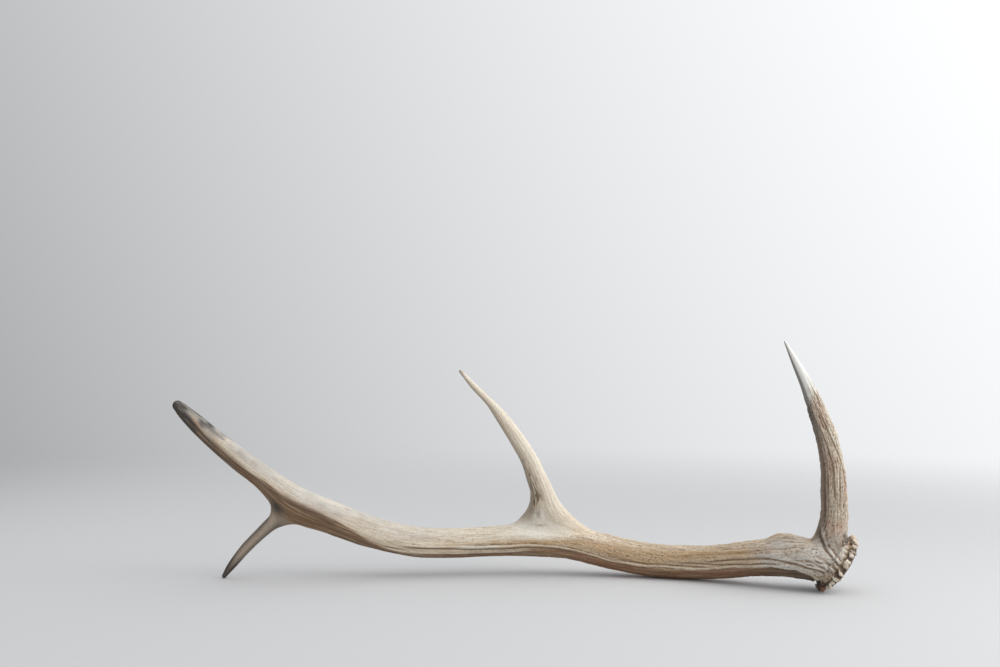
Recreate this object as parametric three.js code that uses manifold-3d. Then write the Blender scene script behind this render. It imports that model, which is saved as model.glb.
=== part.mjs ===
// A shed red deer antler, lying on its back tine, the underside of its beam and its burr.
// Millimetres, +Z up. X runs along the antler from the tips (-X) to the burr (+X), and the
// hollow side of its bow faces -Y. The origin is the middle of the bounding box, on the floor.

import * as THREE from 'three';
import { mergeVertices } from 'three/addons/utils/BufferGeometryUtils.js';
import Module from 'manifold-3d';

const wasm = await Module();
wasm.setup();

// Driving dimensions.

const boxMiddle = new THREE.Vector3(12.7, -30.6, 0);   // middle of the box, in the stations' frame
const jointGap = 0.3;          // space between two pieces that meet at a fork
const ringStep = 9;            // distance between rings along a branch
const rootStep = 4;            // closer rings where a tine flares out of the beam
const tipBulge = 0.7;          // how far a tip is domed, as a share of its radius

// Stations of each branch: x, y, z of the centre, half height across, half depth.
// Across lies in the plane of the forks and depth is square to it.

const beam = {
  sides: 22,
  ridge: 0.9,
  turn: 0,
  stations: [
    [338, -59, 31, 24.5, 24], [322, -53, 32.2, 23, 23], [304, -44, 32.7, 21, 20.5],
    [275.7, -27, 29.3, 19.1, 18.6], [236.8, -5, 22.1, 18.5, 18], [206.4, 9, 19.1, 18.5, 18],
    [164.5, 23, 19.5, 18.6, 17.8], [121.4, 33, 25.3, 18.8, 17.6], [77.5, 38, 32.8, 18.4, 17],
    [33.2, 39, 37.1, 17.3, 16.4], [-11.1, 37, 36.8, 16.2, 15.8], [-55.2, 33, 35.8, 16.3, 15.4],
    [-98.9, 27, 38.3, 16.7, 15.4], [-142.3, 20, 49.8, 17.1, 15.2], [-185.1, 12, 67.3, 17.4, 15],
    [-222, 4, 85.1, 16.9, 14.4], [-255.8, -7, 111.7, 13.5, 12.6], [-278, -15, 131.2, 12.3, 11.6],
    [-299.7, -24, 150.6, 10.8, 10.4], [-319.2, -32, 169.2, 9.1, 9], [-332.6, -38, 182.8, 7.2, 7.2],
    [-340.6, -42, 191.4, 3.7, 4],
  ],
};

const browTine = {
  sides: 16,
  ridge: 0.9,
  turn: 1.3,
  stations: [
    [340, -58, 36, 27, 20], [341, -58.5, 50, 24.5, 20.5], [343.3, -59.5, 58, 20.9, 19],
    [344.5, -60.5, 66, 17.3, 17], [346.2, -63.5, 77, 15, 15.4], [345.8, -66.5, 87, 14.2, 14.6],
    [343.1, -73, 106.2, 13.5, 13.4], [339.9, -80, 131.5, 12.3, 12.2], [332.4, -88, 160.8, 10.9, 10.8],
    [321.7, -95, 186.6, 9.1, 9], [309.3, -103, 214.2, 6.6, 6.6], [296.2, -110, 238.5, 3.8, 3.8],
    [285.7, -115, 256.5, 1.2, 1.2],
  ],
};

const trezTine = {
  sides: 16,
  ridge: 0.4,
  turn: 2.1,
  stations: [
    [49, 38, 34, 64, 9], [49, 38, 42, 60, 11], [49, 37.6, 50, 50, 12.5], [49, 36.8, 58, 35, 13.2],
    [49.4, 35.4, 65, 26, 13.2], [49.6, 33.5, 73, 20.5, 12.8], [48.2, 30.4, 84, 16, 12.5],
    [44.6, 26.8, 96, 13, 12.2], [39.5, 23, 106.4, 12, 11.8], [29.4, 14, 129.1, 10.8, 10.8], [17.3, 5, 151.6, 9.2, 9.2],
    [2.2, -5, 176.1, 6.8, 7], [-12.8, -13, 193.7, 4.9, 5], [-26.6, -20, 211.1, 3.4, 3.5],
    [-40.3, -27, 226.7, 1.9, 1.9],
  ],
};

const backTine = {
  sides: 14,
  ridge: 0.3,
  turn: 3.4,
  stations: [
    [-222, 4, 84, 20, 11], [-232, 5, 75.5, 15, 11], [-242.9, 6, 66.5, 10.8, 9.4],
    [-258.6, 9, 52.4, 7.2, 6.8], [-276.5, 12, 33.5, 5.6, 5.5], [-292.3, 15, 14.5, 4.4, 4.4],
    [-301.4, 17, 1.5, 2.4, 2.4],
  ],
};

// Where the branches part, as a length along each of them.

const beamParting = 382;       // just past the web of the trez fork
const topParting = 640;        // just past the terminal fork
const browParting = 56;
const trezParting = 54;
const backParting = 46;

// The burr: a beaded ring round the seal, square to the stump that it was shed from.

const burr = {
  middle: new THREE.Vector3(349.5, -60, 28.6),
  facing: new THREE.Vector3(0.83, 0, -0.55),
  sides: 26,
  // radius and height of its outline, from the domed seal to the neck inside the beam
  outline: [[0, 8], [12, 6.6], [21, 3.4], [24.5, 4.5], [29, 3.2], [31, -1], [29, -5.5], [25, -12], [21, -24], [0, -24]],
};
const beads = { count: 26, ring: 29.3, size: 3.9, back: -1.6 };

const stubTine = { middle: [297, -41, 44], size: [21, 11, 12], lean: 0.45 };   // the unformed bez tine

// Colours, roughness and metalness of each piece.

const finish = {
  lower_beam: { color: 0xa98c66, roughness: 0.62, metalness: 0 },
  brow_tine: { color: 0xa08a6c, roughness: 0.58, metalness: 0 },
  trez_tine: { color: 0xc4ae8c, roughness: 0.56, metalness: 0 },
  upper_beam: { color: 0xb59c78, roughness: 0.6, metalness: 0 },
  top_tine: { color: 0x9f9078, roughness: 0.55, metalness: 0 },
  back_tine: { color: 0x7d7364, roughness: 0.55, metalness: 0 },
};

// A branch is a smooth curve through its stations, with its half sizes on a second curve.

function grow(branch) {
  const centres = branch.stations.map(([x, y, z]) => new THREE.Vector3(x, y, z));
  const sizes = branch.stations.map(([, , , across, depth]) => new THREE.Vector3(across, depth, 0));
  const curve = new THREE.CatmullRomCurve3(centres, false, 'catmullrom', 0.5);
  curve.arcLengthDivisions = 600;
  const girth = new THREE.CatmullRomCurve3(sizes, false, 'catmullrom', 0.5);
  return { ...branch, curve, girth, length: curve.getLength() };
}

// Centre, directions and half sizes at a length along a branch. Front is as near -Y as the
// branch allows, and up is square to it and to the branch.

function section(branch, along) {
  const share = THREE.MathUtils.clamp(along / branch.length, 0, 1);
  const t = branch.curve.getUtoTmapping(share);
  const tangent = branch.curve.getTangent(t);
  const front = new THREE.Vector3(0, -1, 0);
  front.addScaledVector(tangent, -front.dot(tangent)).normalize();
  const up = new THREE.Vector3().crossVectors(tangent, front);
  const { x: across, y: depth } = branch.girth.getPoint(t);
  return { centre: branch.curve.getPoint(t), tangent, front, up, across, depth };
}

// Long ridges and grooves that wander slowly round the branch as they run along it.

function ridges(branch, around, along) {
  const broad = Math.cos(5 * around + 0.8 * Math.sin(along / 85 + branch.turn) + branch.turn);
  const narrow = Math.cos(8 * around - along / 150 + 2 * branch.turn);
  return branch.ridge * (0.6 * broad + 0.4 * narrow);
}

// The hard edge along the lower front of the upper beam, with the flat underside below it.

function lowerEdge(branch, around, along) {
  if (branch.name !== 'beam') return 0;
  const reach = THREE.MathUtils.smoothstep(along, 300, 400) * (1 - THREE.MathUtils.smoothstep(along, 600, 680));
  const edge = Math.exp(-(((around + 0.75) / 0.2) ** 2));
  const flat = Math.exp(-(((around + 1.5) / 0.45) ** 2));
  return reach * (1.5 * edge - 1.1 * flat);
}

// One closed length of a branch: a cylinder whose axis is bent along the curve.

function limb(branch, from, to, step) {
  const rings = Math.max(2, Math.round((to - from) / step));
  const geometry = new THREE.CylinderGeometry(1, 1, 1, branch.sides, rings);
  const position = geometry.attributes.position;
  const point = new THREE.Vector3();
  for (let i = 0; i < position.count; i++) {
    point.fromBufferAttribute(position, i);
    const along = THREE.MathUtils.lerp(from, to, point.y + 0.5);
    const { centre, tangent, front, up, across, depth } = section(branch, along);
    const isHub = Math.hypot(point.x, point.z) < 0.5;
    if (isHub) {
      if (along > branch.length - 0.01) centre.addScaledVector(tangent, tipBulge * across);
    } else {
      const around = Math.atan2(-point.z, point.x);
      const fade = Math.min(1, across / 9);
      const relief = fade * (ridges(branch, around, along) + lowerEdge(branch, around, along));
      centre.addScaledVector(front, (depth + relief) * Math.cos(around));
      centre.addScaledVector(up, (across + relief) * Math.sin(around));
    }
    position.setXYZ(i, centre.x, centre.y, centre.z);
  }
  return solidOf(geometry);
}

// A closed geometry as a solid that can be joined: shared vertices merged, empty faces dropped.

function solidOf(geometry) {
  const bare = geometry.clone();
  bare.deleteAttribute('normal');
  bare.deleteAttribute('uv');
  const merged = mergeVertices(bare, 1e-3);
  const corners = merged.index.array;
  const faces = [];
  for (let i = 0; i < corners.length; i += 3) {
    const [a, b, c] = [corners[i], corners[i + 1], corners[i + 2]];
    if (a !== b && b !== c && c !== a) faces.push(a, b, c);
  }
  return new wasm.Manifold(new wasm.Mesh({
    numProp: 3,
    vertProperties: Float32Array.from(merged.attributes.position.array),
    triVerts: Uint32Array.from(faces),
  }));
}

// The burr's ring and seal, with a row of uneven beads fused round its rim.

function burrSolid() {
  const outline = burr.outline.map(([radius, height]) => new THREE.Vector2(radius, height)).reverse();
  const ring = new THREE.LatheGeometry(outline, burr.sides);
  const turn = new THREE.Quaternion().setFromUnitVectors(
    new THREE.Vector3(0, 1, 0), burr.facing.clone().normalize());
  ring.applyQuaternion(turn).translate(burr.middle.x, burr.middle.y, burr.middle.z);
  let solid = solidOf(ring);
  for (let i = 0; i < beads.count; i++) {
    const angle = (2 * Math.PI * (i + 0.25 * Math.sin(5.3 * i))) / beads.count;
    const size = beads.size * (1 + 0.22 * Math.sin(2.4 * i + 1) + 0.12 * Math.sin(7.1 * i));
    const bead = new THREE.SphereGeometry(size, 6, 4);
    bead.scale(1, 1.15 + 0.2 * Math.sin(3.7 * i), 1);
    bead.translate(beads.ring * Math.cos(angle), beads.back + 0.9 * Math.sin(1.9 * i), beads.ring * Math.sin(angle));
    bead.applyQuaternion(turn).translate(burr.middle.x, burr.middle.y, burr.middle.z);
    solid = solid.add(solidOf(bead));
  }
  return solid;
}

// The low lump on top of the beam where a bez tine began.

function stubSolid() {
  const lump = new THREE.SphereGeometry(1, 14, 8);
  lump.scale(...stubTine.size).rotateY(stubTine.lean).translate(...stubTine.middle);
  return solidOf(lump);
}

function piece(name, solid) {
  const { vertProperties, triVerts } = solid.getMesh();
  const geometry = new THREE.BufferGeometry();
  geometry.setAttribute('position', new THREE.BufferAttribute(Float32Array.from(vertProperties), 3));
  geometry.setIndex(new THREE.BufferAttribute(Uint32Array.from(triVerts), 1));
  geometry.computeVertexNormals();
  const mesh = new THREE.Mesh(geometry, new THREE.MeshStandardMaterial(finish[name]));
  mesh.name = name;
  return mesh;
}

const main = grow({ ...beam, name: 'beam' });
const brow = grow({ ...browTine, name: 'brow' });
const trez = grow({ ...trezTine, name: 'trez' });
const back = grow({ ...backTine, name: 'back' });

const lowerBeam = limb(main, 0, beamParting, ringStep)
  .add(burrSolid())
  .add(stubSolid())
  .add(limb(brow, 0, browParting, rootStep))
  .add(limb(trez, 0, trezParting, rootStep));
const upperBeam = limb(main, beamParting + jointGap, topParting, ringStep)
  .add(limb(back, 0, backParting, rootStep));

const antler = new THREE.Group();
antler.name = 'antler';
antler.add(
  piece('lower_beam', lowerBeam),
  piece('brow_tine', limb(brow, browParting + jointGap, brow.length, ringStep)),
  piece('trez_tine', limb(trez, trezParting + jointGap, trez.length, ringStep)),
  piece('upper_beam', upperBeam),
  piece('top_tine', limb(main, topParting + jointGap, main.length, ringStep)),
  piece('back_tine', limb(back, backParting + jointGap, back.length, ringStep)),
);
antler.position.copy(boxMiddle).negate();

export default antler;
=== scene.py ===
# Shed red deer antler on a pale studio floor.
# Shapes are worked out in millimetres and put into the meshes in metres.
import math
from functools import partial

import bpy
import numpy as np
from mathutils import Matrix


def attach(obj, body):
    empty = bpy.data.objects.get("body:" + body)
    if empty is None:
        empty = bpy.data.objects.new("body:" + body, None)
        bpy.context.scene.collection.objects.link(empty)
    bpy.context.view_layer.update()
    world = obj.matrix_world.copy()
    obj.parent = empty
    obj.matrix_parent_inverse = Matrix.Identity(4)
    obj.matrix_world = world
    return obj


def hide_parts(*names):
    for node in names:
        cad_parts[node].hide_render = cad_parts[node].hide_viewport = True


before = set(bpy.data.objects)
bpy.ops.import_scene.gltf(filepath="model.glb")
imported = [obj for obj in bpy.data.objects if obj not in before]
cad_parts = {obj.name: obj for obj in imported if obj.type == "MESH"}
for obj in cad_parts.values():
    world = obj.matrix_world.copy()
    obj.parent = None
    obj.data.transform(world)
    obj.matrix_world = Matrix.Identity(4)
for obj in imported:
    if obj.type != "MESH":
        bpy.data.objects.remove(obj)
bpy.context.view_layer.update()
print("frame loaded")

fullTurn = 2 * math.pi

# x, y, z of the centre, half height across, half depth, at stations along each branch
beamShape = {
    "stations": [
        [349.5, -60, 28.6, 27.6, 27.2], [337.5, -58.8, 31, 25.2, 24.8], [322, -53, 32.2, 23, 23],
        [304, -44, 32.7, 21, 20.5], [275.7, -27, 29.1, 18.9, 18.6], [236.8, -5, 21.6, 18, 18],
        [206.4, 9, 18.6, 18, 18], [164.5, 23, 18.8, 17.9, 17.8], [121.4, 33, 25.6, 17.9, 17.6],
        [77.5, 38, 34.2, 16.8, 17], [33.2, 39, 37.4, 16.9, 16.4], [-11.1, 37, 36.8, 16.2, 15.8],
        [-55.2, 33, 35.8, 16.3, 15.4], [-98.9, 27, 38, 17.1, 15.6], [-142.3, 20, 49.3, 17.9, 15.6],
        [-185.1, 12, 67.3, 17.4, 15], [-222, 4, 85.1, 16.9, 14.4], [-255.2, -7, 112.3, 12.8, 12.4],
        [-278, -15, 131.3, 12.3, 11.6], [-299.7, -24, 151.1, 11, 10.6], [-319.2, -32, 170.3, 9.5, 9.2],
        [-332.2, -38, 184.2, 7.4, 7.2], [-338.8, -41.5, 191.6, 5.4, 5.3],
    ],
    "columns": 184,         # cells round the beam
    "rowGap": 1.2,          # mm between rows
    "neck": 12,             # where the burr's outline hands over to the beam
    "square": 46,           # by here the rows stand square to the beam, not to the burr
    "parting": 394,         # end of the lower beam
    "topParting": 652,      # end of the upper beam
    "restsAt": 171,         # its underside is worn smooth here
}
boxMiddle = np.array([12.7, -30.6, 0.0])     # middle of the object's box in the stations' frame


def smooth(low, high, x):
    # 0 below low, 1 above high, an s-shaped cubic between; it falls where low is above high
    u = np.clip((x - low) / (high - low), 0, 1)
    return u * u * (3 - 2 * u)


def bell(x, middle, width):
    # a bell curve, 1 at its middle
    return np.exp(-(((x - middle) / width) ** 2))


def turnFrom(a, b):
    # the signed angle from b to a, between minus and plus half a turn
    return (a - b + math.pi) % fullTurn - math.pi


def unit(v):
    # each vector divided by its own length
    return v / np.maximum(np.linalg.norm(v, axis=-1, keepdims=True), 1e-9)


def splineAt(rows, t):
    # uniform Catmull-Rom: each span is a cubic through four rows, the end rows carried straight on
    rows = np.asarray(rows, float)
    rows = np.vstack([2 * rows[0] - rows[1], rows, 2 * rows[-1] - rows[-2]])
    span = np.clip(np.asarray(t).astype(int), 0, len(rows) - 4)
    u = (t - span)[:, None]
    a, b, c, d = (rows[span + k] for k in range(4))
    return b + 0.5 * u * (c - a + u * (2 * a - 5 * b + 4 * c - d + u * (3 * (b - c) + d - a)))


def splineLength(rows, columns):
    # parameter and arc length at many points of the curve, over the first so many columns
    t = np.linspace(0, len(rows) - 1, 6000)
    steps = np.diff(splineAt(rows, t)[:, :columns], axis=0)
    return t, np.concatenate([[0], np.cumsum(np.linalg.norm(steps, axis=1))])


def framed(along, rows, tangent):
    # front is minus Y made square to the branch, and up is the branch crossed with front
    front = unit(np.array([0, -1.0, 0]) + tangent[:, 1:2] * tangent)
    return {"along": along, "centre": rows[:, :3], "across": rows[:, 3], "depth": rows[:, 4],
            "tangent": tangent, "front": front, "up": np.cross(tangent, front)}


def joined(lines):
    # lines end to end, key by key
    return {k: np.concatenate([line[k] for line in lines]) for k in lines[0]}


def growLine(stations, along):
    # centres and half sizes read off the spline at these lengths, and the direction by differences
    t, run = splineLength(stations, 3)
    rows = splineAt(stations, np.interp(along, run, t))
    ahead = splineAt(stations, np.interp(along + 0.5, run, t))[:, :3]
    behind = splineAt(stations, np.interp(along - 0.5, run, t))[:, :3]
    return framed(along, rows, unit(ahead - behind))


def domed(line, steps=6):
    # a tip: quarter of an ellipse past the last row, its radius a cosine and its reach a sine
    u = np.linspace(0, 0.97, steps + 1)[1:] * math.pi / 2
    end = {k: np.repeat(line[k][-1:], steps, axis=0) for k in line}
    reach = 0.9 * end["across"] * np.sin(u)
    end["centre"] = end["centre"] + reach[:, None] * end["tangent"]
    end["along"] = end["along"] + reach
    end["across"] = end["across"] * np.cos(u)
    end["depth"] = end["depth"] * np.cos(u)
    return joined([line, end])


def ringPoints(line, around):
    # centre plus depth times cosine along front plus height times sine along up
    deep = line["depth"][:, None, None] * np.cos(around)[..., None] * line["front"][:, None]
    high = line["across"][:, None, None] * np.sin(around)[..., None] * line["up"][:, None]
    return line["centre"][:, None] + deep + high


burrShape = {
    "middle": [349.5, -60, 28.6],
    "facing": [0.83, 0, -0.55],
    # radius and height of the outline, from the middle of the seal over the rim to the neck
    "outline": [[0.6, 7.6], [6, 7.4], [12, 6.4], [17, 4.4], [20.5, 2.6], [23, 2.9], [25.5, 4.6],
                [28, 4.4], [29.5, 2.6], [29.9, 0], [29.2, -2.6], [27.4, -4.8], [27.2, -9]],
    "rimPoint": 9,          # which outline point is the rim's widest
    "rowGap": 0.75,
    "beads": 46,
    "beadHeight": 2.8,
}


def beamLine(shape, burr):
    # rows of the burr's outline turned about its facing, then rows along the beam that swing
    # from square to the burr to square to the beam
    facing = unit(np.array(burr["facing"]))
    total = splineLength(shape["stations"], 3)[1][-1]
    count = int((total - shape["neck"]) / shape["rowGap"])
    beam = growLine(shape["stations"], np.linspace(shape["neck"], total, count))
    lean = smooth(shape["neck"], shape["square"], beam["along"])[:, None]
    rows = np.column_stack([beam["centre"], beam["across"], beam["depth"]])
    beam = framed(beam["along"], rows, unit(lean * beam["tangent"] - (1 - lean) * facing))
    outline = np.array(burr["outline"] + [[beam["across"][0], -shape["neck"]]], float)
    t, run = splineLength(outline, 2)
    step = np.linspace(0, run[-1], int(run[-1] / burr["rowGap"]))[:-1]
    radius, height = splineAt(outline, np.interp(step, run, t)).T
    centre = np.array(burr["middle"]) + height[:, None] * facing
    tangent = np.repeat(-facing[None], len(step), axis=0)
    edge = framed(step - run[-1] + shape["neck"], np.column_stack([centre, radius, radius]), tangent)
    line = domed(joined([edge, beam]))
    line["rim"] = np.interp(burr["rimPoint"], t, run) - run[-1] + shape["neck"]
    return line


browShape = {
    "stations": [
        [340, -58, 36, 27, 20], [341, -58.5, 50, 24.5, 20.5], [343.3, -59.5, 58, 20.9, 19],
        [344.5, -60.5, 66, 17.3, 17], [345.6, -63.5, 77, 14.6, 15.2], [345.3, -66.5, 87, 13.8, 14.4],
        [343.1, -73, 106.2, 13.5, 13.4], [339.9, -80, 131.5, 12.3, 12.2], [332.4, -88, 160.8, 10.9, 10.8],
        [321.7, -95, 186.6, 9.1, 9], [309, -103, 214.2, 6.6, 6.6], [295.6, -110, 238.5, 4, 3.9],
        [284.4, -115, 258.6, 1.2, 1.2],
    ],
    "rootEnd": 45,          # the root has become a round tine here
    "parting": 56,
    "window": [3.5, 33, 38, 142],    # where it leaves the beam: lengths, then degrees round it
    "hug": [0.5, 0.4, 0.3],          # how far the web follows the beam: tip side, flanks, burr side
    "rise": 0.75,           # how early the web turns along the tine
}

trezShape = {
    "stations": [
        [49, 38, 34, 64, 9], [49, 38, 42, 60, 11], [49, 37.6, 50, 50, 12.5], [49, 36.8, 58, 35, 13.2],
        [49.4, 35.4, 65, 26, 13.2], [49.4, 33.5, 73, 20, 12.8], [47.9, 30.4, 84, 15.3, 12.5],
        [45, 26.8, 96, 12.4, 12], [40.9, 23, 106.4, 11.2, 11.5], [32, 14, 129.1, 9.5, 10.3],
        [18.8, 5, 151.6, 8.2, 8.8], [2.4, -5, 176.1, 6.6, 6.9], [-11.5, -13, 193.7, 4.1, 4.6],
        [-28.2, -20, 211.1, 3.3, 3.5], [-41.7, -27, 227, 1.8, 1.9],
    ],
    "rootEnd": 52,
    "parting": 54,
    "window": [268, 364, 36, 144],
    "hug": [0.85, 0.8, 0.8],
    "rise": 0.8,
}

backShape = {
    "stations": [
        [-222, 4, 84, 20, 11], [-232, 5, 75.5, 14, 11], [-242, 6, 66.2, 8.8, 9],
        [-257.3, 9, 52.4, 6.4, 6.6], [-276.5, 12, 33.5, 5.6, 5.5], [-292.3, 15, 14.5, 4.4, 4.4],
        [-301.4, 17, 2, 2.4, 2.4],
    ],
    "rootEnd": 40,
    "parting": 46,
    "window": [590, 646, -138, -42],
    "hug": [2.7, 0.8, 0.9],
    "rise": 1.0,
}


def windowAt(beam, columns, shape):
    # the window as the middle row and angle with the half counts, so its rim lies on grid points
    first, last, low, high = shape["window"]
    j0, j1 = np.searchsorted(beam["along"], [first, last])
    i0, i1 = [int(round(a / 360 * columns)) for a in (low, high)]
    return j0, j1, i0, i1


def windowLoop(columns, window):
    # the grid points round the window, in order
    j0, j1, i0, i1 = window
    i, j = np.arange(i0, i1 + 1), np.arange(j0, j1 + 1)
    row = np.concatenate([j[::-1][:-1], np.full(len(i) - 1, j0), j[:-1], np.full(len(i) - 1, j1)])
    col = np.concatenate([np.full(len(j) - 1, i0), i[:-1], np.full(len(j) - 1, i1), i[::-1][:-1]])
    return row, col % columns


def roundedOff(rowAt, around, columns, window, reach=2.3):
    # pulls the grid in so that the window's square rim becomes an ellipse: each point moves towards
    # the middle by the ratio of its square radius to its round one, less and less out to the reach
    j0, j1, i0, i1 = window
    middle, half = (j0 + j1) / 2, (j1 - j0) / 2
    turn, halfTurn = (i0 + i1) / 2 / columns * fullTurn, (i1 - i0) / 2 / columns * fullTurn
    p, q = (rowAt - middle) / half, turnFrom(around, turn) / halfTurn
    square, circle = np.maximum(abs(p), abs(q)), np.hypot(p, q) + 1e-9
    pull = 1 + (square / circle - 1) * smooth(reach, 1, square)
    near = square < reach
    rowAt = np.where(near, middle + p * pull * half, rowAt)
    return rowAt, np.where(near, turn + q * pull * halfTurn, around)


def beamSurface(beam, rowAt, around):
    # the beam's own surface at any row and angle; rows are read between by straight lines
    below = np.clip(rowAt.astype(int), 0, len(beam["along"]) - 2)
    part = rowAt - below

    def read(key):
        value, share = beam[key], part if beam[key].ndim == 1 else part[..., None]
        return value[below] * (1 - share) + value[below + 1] * share

    away = ((read("depth") * np.cos(around))[..., None] * read("front")
            + (read("across") * np.sin(around))[..., None] * read("up"))
    along = read("along")
    return read("centre") + away + beamSwell(along, around)[..., None] * unit(away), along


def gridQuads(ids):
    # faces between neighbouring rows and columns, the last column joined to the first
    ahead = np.roll(ids, -1, axis=1)
    q = np.stack([ids[:-1], ahead[:-1], ahead[1:], ids[1:]], axis=-1).reshape(-1, 4)
    return q, np.repeat(np.arange(len(ids) - 1), ids.shape[1])


def webbed(beam, window, rim, loopRow, loopAround, tine, shape, tipUp):
    # Hermite cubics from the window's rim to the tine's first ring: they leave along the beam,
    # straight towards the middle of the window, and arrive along the tine
    j0, j1, i0, i1 = window
    columns = beamShape["columns"]
    middle, turn = (j0 + j1) / 2, (i0 + i1) / 2 / columns * fullTurn
    outRow = middle + (loopRow - middle) * 1.04
    outTurn = turn + turnFrom(loopAround, turn) * 1.04
    outer = beamSurface(beam, outRow, outTurn)[0]
    away = rim - tine["centre"][0]
    angle = np.unwrap(np.arctan2(away @ tine["up"][0], away @ tine["front"][0]))
    flip = angle[-1] < angle[0]
    even = np.arange(len(rim)) / len(rim) * fullTurn
    even = -even if flip else even
    even = even + (angle - even).mean()
    ring = ringPoints(tine, np.broadcast_to(even, (len(tine["along"]), len(rim))))
    span = np.linalg.norm(ring[0] - rim, axis=1, keepdims=True)
    side = (-1 if tipUp else 1) * np.sin(even)[:, None]
    tipHug, flankHug, burrHug = shape["hug"]
    hug = flankHug + np.where(side < 0, tipHug - flankHug, burrHug - flankHug) * side ** 2
    leave = hug * span * unit(rim - outer)
    arrive = shape["rise"] * span * unit(ring[1] - ring[0])
    rings = max(12, int(span.mean() / 1.2))
    u = (np.arange(1, rings) / rings)[:, None, None]
    web = ((2 * u**3 - 3 * u**2 + 1) * rim + (u**3 - 2 * u**2 + u) * leave
           + (3 * u**2 - 2 * u**3) * ring[0] + (u**3 - u**2) * arrive)
    return np.concatenate([web, ring]), even, u[:, 0, 0], flip


def buildSkin():
    # one skin: the beam's grid, with a window cut for each tine and the tine's grid sewn to its rim
    columns = beamShape["columns"]
    beam = beamLine(beamShape, burrShape)
    rows = len(beam["along"])
    rowAt = np.repeat(np.arange(rows, dtype=float)[:, None], columns, axis=1)
    around = np.repeat(np.arange(columns)[None] / columns * fullTurn, rows, axis=0)
    windows = [windowAt(beam, columns, shape) for _, _, shape, _ in tines]
    for window in windows:
        rowAt, around = roundedOff(rowAt, around, columns, window)
    grid, along = beamSurface(beam, rowAt, around)
    points = [grid.reshape(-1, 3)]
    facts = [np.stack([0 * along, along, around % fullTurn, 0 * along], axis=-1).reshape(-1, 4)]
    ids = np.arange(rows * columns).reshape(rows, columns)
    jParting, jTop = np.searchsorted(beam["along"], [beamShape["parting"], beamShape["topParting"]])
    cuts = [("lower_beam", "upper_beam", ids[jParting]), ("upper_beam", "top_tine", ids[jTop])]
    poles = [("lower_beam", ids[0][::-1]), ("top_tine", ids[-1])]
    closed = np.ones((rows - 1, columns), bool)
    quads, owner, total = [], [], rows * columns
    for kind, ((name, parent, shape, tipUp), window) in enumerate(zip(tines, windows), start=1):
        j0, j1, i0, i1 = window
        closed[np.ix_(np.arange(j0, j1), np.arange(i0, i1) % columns)] = False
        row, col = windowLoop(columns, window)
        length = splineLength(shape["stations"], 3)[1][-1]
        count = int((length - shape["rootEnd"]) / beamShape["rowGap"])
        tine = domed(growLine(shape["stations"], np.linspace(shape["rootEnd"], length, count)))
        tube, even, u, flip = webbed(beam, window, grid[row, col], rowAt[row, col], around[row, col],
                                     tine, shape, tipUp)
        loop = ids[row, col]
        if flip:
            loop, tube, even = loop[::-1], tube[:, ::-1], even[::-1]
        n, m = tube.shape[:2]
        alongTube = np.concatenate([shape["rootEnd"] * u, tine["along"]])
        weight = np.concatenate([u, np.ones(len(tine["along"]))])
        points.append(tube.reshape(-1, 3))
        facts.append(np.column_stack([np.full(n * m, kind), np.repeat(alongTube, m),
                                      np.tile(even % fullTurn, n), np.repeat(weight, m)]))
        own = np.vstack([loop, total + np.arange(n * m).reshape(n, m)])
        cut = len(u) + 1 + int(np.searchsorted(tine["along"], shape["parting"]))
        q, k = gridQuads(own)
        quads.append(q)
        owner.append(np.where(k < cut, parent, name))
        cuts.append((parent, name, own[cut]))
        poles.append((name, own[-1]))
        total += n * m
    q, k = gridQuads(ids)
    keep = closed.reshape(-1)
    quads.append(q[keep])
    owner.append(np.where(k < jParting, "lower_beam", np.where(k < jTop, "upper_beam", "top_tine"))[keep])
    return (np.concatenate(points), np.concatenate(facts), np.concatenate(quads), np.concatenate(owner),
            cuts, poles, beam)


def creaseAt(along):
    # the hard edge's angle below the front, at lengths along the beam
    return np.radians(np.interp(along, [340, 422, 461, 506, 537, 562, 585, 620, 645, 672, 700, 740],
                                [-45, -38, -35, -31, -19, -6, 0, 0, -10, -14, -16, -10]))


def beamSwell(s, a):
    # the beam thickens towards each fork, carries the stub of the bez tine on top, and above the
    # trez fork its underside is a flat: where the round goes past the flat's plane it is cut back
    top, under = np.maximum(np.sin(a), 0) ** 2, np.maximum(-np.sin(a), 0) ** 2
    crest = np.maximum(np.sin(a), 0) ** 5
    swell = 3.4 * bell(s, 318, 46) * top + 4 * bell(s, 600, 28) * under
    stub = smooth(76, 57, s) * smooth(26, 62, s)
    swell = swell + (4.9 * stub - 1.8 * bell(s, 30, 14)) * crest
    hollow = -1.6 * bell(s, 42, 16) * bell(turnFrom(a, 0.55), 0, 0.5)
    reach = smooth(430, 520, s) * smooth(770, 700, s)
    turn = turnFrom(a, creaseAt(s) - 0.72)
    past = np.interp(s, [560, 760], [15.5, 8.5]) * (1 - 0.8 / np.maximum(np.cos(turn), 0.5))
    crisp = np.interp(s, [540, 600, 690, 720], [4, 1.4, 1.4, 3])
    return swell + hollow - reach * np.logaddexp(0, crisp * past) / crisp


tines = (("brow_tine", "lower_beam", browShape, False), ("trez_tine", "lower_beam", trezShape, False),
         ("back_tine", "upper_beam", backShape, True))


def skinNormals(points, quads):
    # the cross product of each quad's diagonals, added up round each point
    area = np.cross(points[quads[:, 2]] - points[quads[:, 0]], points[quads[:, 3]] - points[quads[:, 1]])
    corner = quads.reshape(-1)
    total = [np.bincount(corner, np.repeat(area[:, k], 4), len(points)) for k in range(3)]
    return unit(np.stack(total, axis=-1))


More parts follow.
